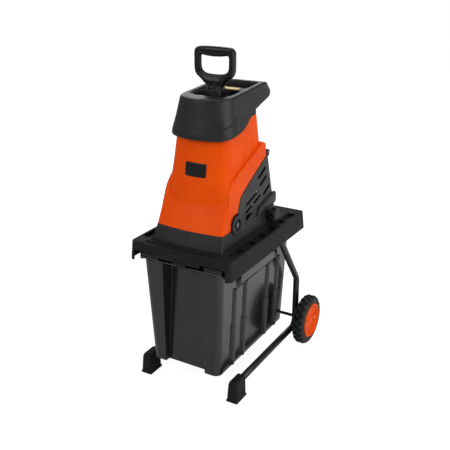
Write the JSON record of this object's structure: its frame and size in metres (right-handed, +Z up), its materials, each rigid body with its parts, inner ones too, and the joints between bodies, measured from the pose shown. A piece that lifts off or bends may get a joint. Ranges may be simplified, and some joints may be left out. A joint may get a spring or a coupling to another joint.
{
  "type": "garden shredder",
  "caption": "Electric garden shredder: knife-disc head with tilting hood, feed hopper and plunger over a pull-out collecting bin on a wheeled tube stand.",
  "frame": {"origin": "on the ground, under the middle of the whole object's box", "axes": "+Z up, -Y towards the side with the bin's front, +X to the right as seen from that front"},
  "size_m": [0.422, 0.535, 0.963],
  "materials": {
    "orange_plastic": "moulded, semi-gloss",
    "satin_black": "moulded, fine grain",
    "gloss_black": "moulded, glossy",
    "tube_paint": "black powder coat",
    "tyre_black": "moulded tread",
    "belt_rubber": "ribbed belt",
    "zinc_steel": "zinc plated",
    "black_steel": "blackened",
    "cast_aluminium": "as cast",
    "copper": "turned",
    "green_button": "moulded",
    "red_button": "moulded"
  },
  "bodies": {
    "chassis": {"deck": "satin_black", "base_housing": "satin_black", "motor_cover": "satin_black", "frame_tube_left": "tube_paint", "frame_tube_right": "tube_paint", "frame_screws": "zinc_steel", "axle": "tube_paint", "axle_spacers": "satin_black", "axle_nuts": "zinc_steel", "foot_left": "satin_black", "foot_right": "satin_black", "interlock_switch": "satin_black", "lug_bolts": "black_steel", "hinge_pins": "zinc_steel", "drive_plate": "cast_aluminium", "drive_plate_bolts": "zinc_steel", "blade_bearings": "zinc_steel", "drive_belt": "belt_rubber", "motor_bracket": "cast_aluminium", "motor_can": "satin_black", "field_stack": "black_steel", "motor_end_bell": "cast_aluminium", "motor_bearings": "zinc_steel", "brush_holders": "satin_black", "motor_bolts": "zinc_steel", "switch_box": "orange_plastic", "power_inlet": "satin_black"},
    "hood": {"upper_housing": "orange_plastic", "feed_hopper": "satin_black", "feed_chute": "satin_black", "counter_blade": "zinc_steel"},
    "pusher": {"plunger": "gloss_black"},
    "bin": {"collecting_bin": "gloss_black"},
    "latch": {"bin_latch": "satin_black"},
    "wheel_left": {"tyre_left": "tyre_black", "wheel_rim_left": "satin_black", "hub_cap_left": "orange_plastic"},
    "wheel_right": {"tyre_right": "tyre_black", "wheel_rim_right": "satin_black", "hub_cap_right": "orange_plastic"},
    "knob": {"locking_knob": "satin_black", "knob_spindle": "zinc_steel"},
    "cutter": {"blade_shaft": "zinc_steel", "blade_pulley": "cast_aluminium", "blade_disc": "zinc_steel", "knives": "zinc_steel", "knife_bolts": "black_steel", "disc_nut": "black_steel"},
    "rotor": {"armature": "black_steel", "motor_shaft": "zinc_steel", "commutator": "copper", "cooling_fan": "satin_black", "motor_pulley": "cast_aluminium"},
    "start": {"start_button": "green_button"},
    "stop": {"stop_button": "red_button"},
    "reset": {"reset_button": "satin_black"}
  },
  "joints": [
    {"name": "hood_tilt", "type": "hinge", "parent": "chassis", "child": "hood", "pos_m": [0, 0.0755, 0.655], "axis": [-1, 0, 0], "range_deg": [0, 75]},
    {"name": "plunger_lift", "type": "slide", "parent": "hood", "child": "pusher", "axis": [0, 0, 1], "range_m": [0, 0.105]},
    {"name": "bin_slide", "type": "slide", "parent": "chassis", "child": "bin", "axis": [0, -1, 0], "range_m": [0, 0.4]},
    {"name": "latch_slide", "type": "slide", "parent": "chassis", "child": "latch", "axis": [0, 0, 1], "range_m": [-0.01, 0]},
    {"name": "wheel_left_spin", "type": "hinge", "parent": "chassis", "child": "wheel_left", "pos_m": [-0.19, 0.1875, 0.08], "axis": [1, 0, 0], "continuous": true},
    {"name": "wheel_right_spin", "type": "hinge", "parent": "chassis", "child": "wheel_right", "pos_m": [0.19, 0.1875, 0.08], "axis": [1, 0, 0], "continuous": true},
    {"name": "knob_turn", "type": "hinge", "parent": "chassis", "child": "knob", "pos_m": [0.113, 0.0575, 0.474], "axis": [1, 0, 0], "range_deg": [0, 900]},
    {"name": "cutter_spin", "type": "hinge", "parent": "chassis", "child": "cutter", "pos_m": [0, -0.0975, 0.47], "axis": [0, 0, 1], "continuous": true},
    {"name": "rotor_spin", "type": "hinge", "parent": "chassis", "child": "rotor", "pos_m": [0, 0.0275, 0.5], "axis": [0, 0, 1], "continuous": true},
    {"name": "start_press", "type": "slide", "parent": "chassis", "child": "start", "axis": [0, 0.812, 0.5836], "range_m": [-0.003, 0], "stiffness_N_per_m": 600},
    {"name": "stop_press", "type": "slide", "parent": "chassis", "child": "stop", "axis": [0, 0.812, 0.5836], "range_m": [-0.003, 0], "stiffness_N_per_m": 600},
    {"name": "reset_press", "type": "slide", "parent": "chassis", "child": "reset", "axis": [0, 0.812, 0.5836], "range_m": [-0.003, 0], "stiffness_N_per_m": 600}
  ],
  "couplings": [
    {"joint": "rotor_spin", "follows": "cutter_spin", "ratio": 4.3}
  ]
}
